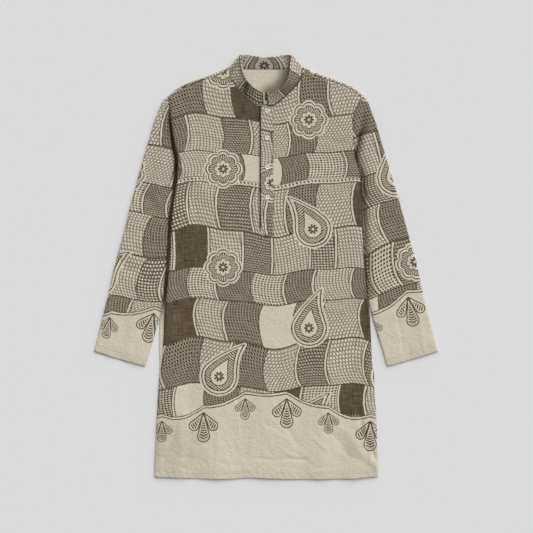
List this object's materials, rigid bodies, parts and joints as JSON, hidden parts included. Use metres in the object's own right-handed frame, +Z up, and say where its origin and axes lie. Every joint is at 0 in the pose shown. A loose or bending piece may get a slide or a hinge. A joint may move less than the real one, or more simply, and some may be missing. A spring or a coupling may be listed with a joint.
{
  "type": "kurta tunic",
  "caption": "Long-sleeved printed linen kurta with a stand collar, buttoned half placket and side slits, laid flat face up.",
  "frame": {"origin": "middle of the bounding box, on the ground that the garment lies on", "axes": "+X to the viewer's right across the chest, +Y along the body from hem to collar, +Z up out of the laid garment's face"},
  "size_m": [0.826, 1.0199, 0.0342],
  "materials": {
    "printed_linen": "matte plain-weave linen, brown block-style print on ecru",
    "plain_linen": "matte plain-weave linen, ecru reverse side",
    "pearl_button": "smooth off-white pearl"
  },
  "bodies": {
    "root": {"back_panel": "plain_linen", "front_panel": "printed_linen", "placket_under": "printed_linen", "placket_over": "printed_linen", "collar_band": "printed_linen", "sleeve_left": "printed_linen", "sleeve_right": "printed_linen", "button_neck": "pearl_button", "button_1": "pearl_button", "button_2": "pearl_button", "button_3": "pearl_button", "button_4": "pearl_button"}
  },
  "joints": []
}
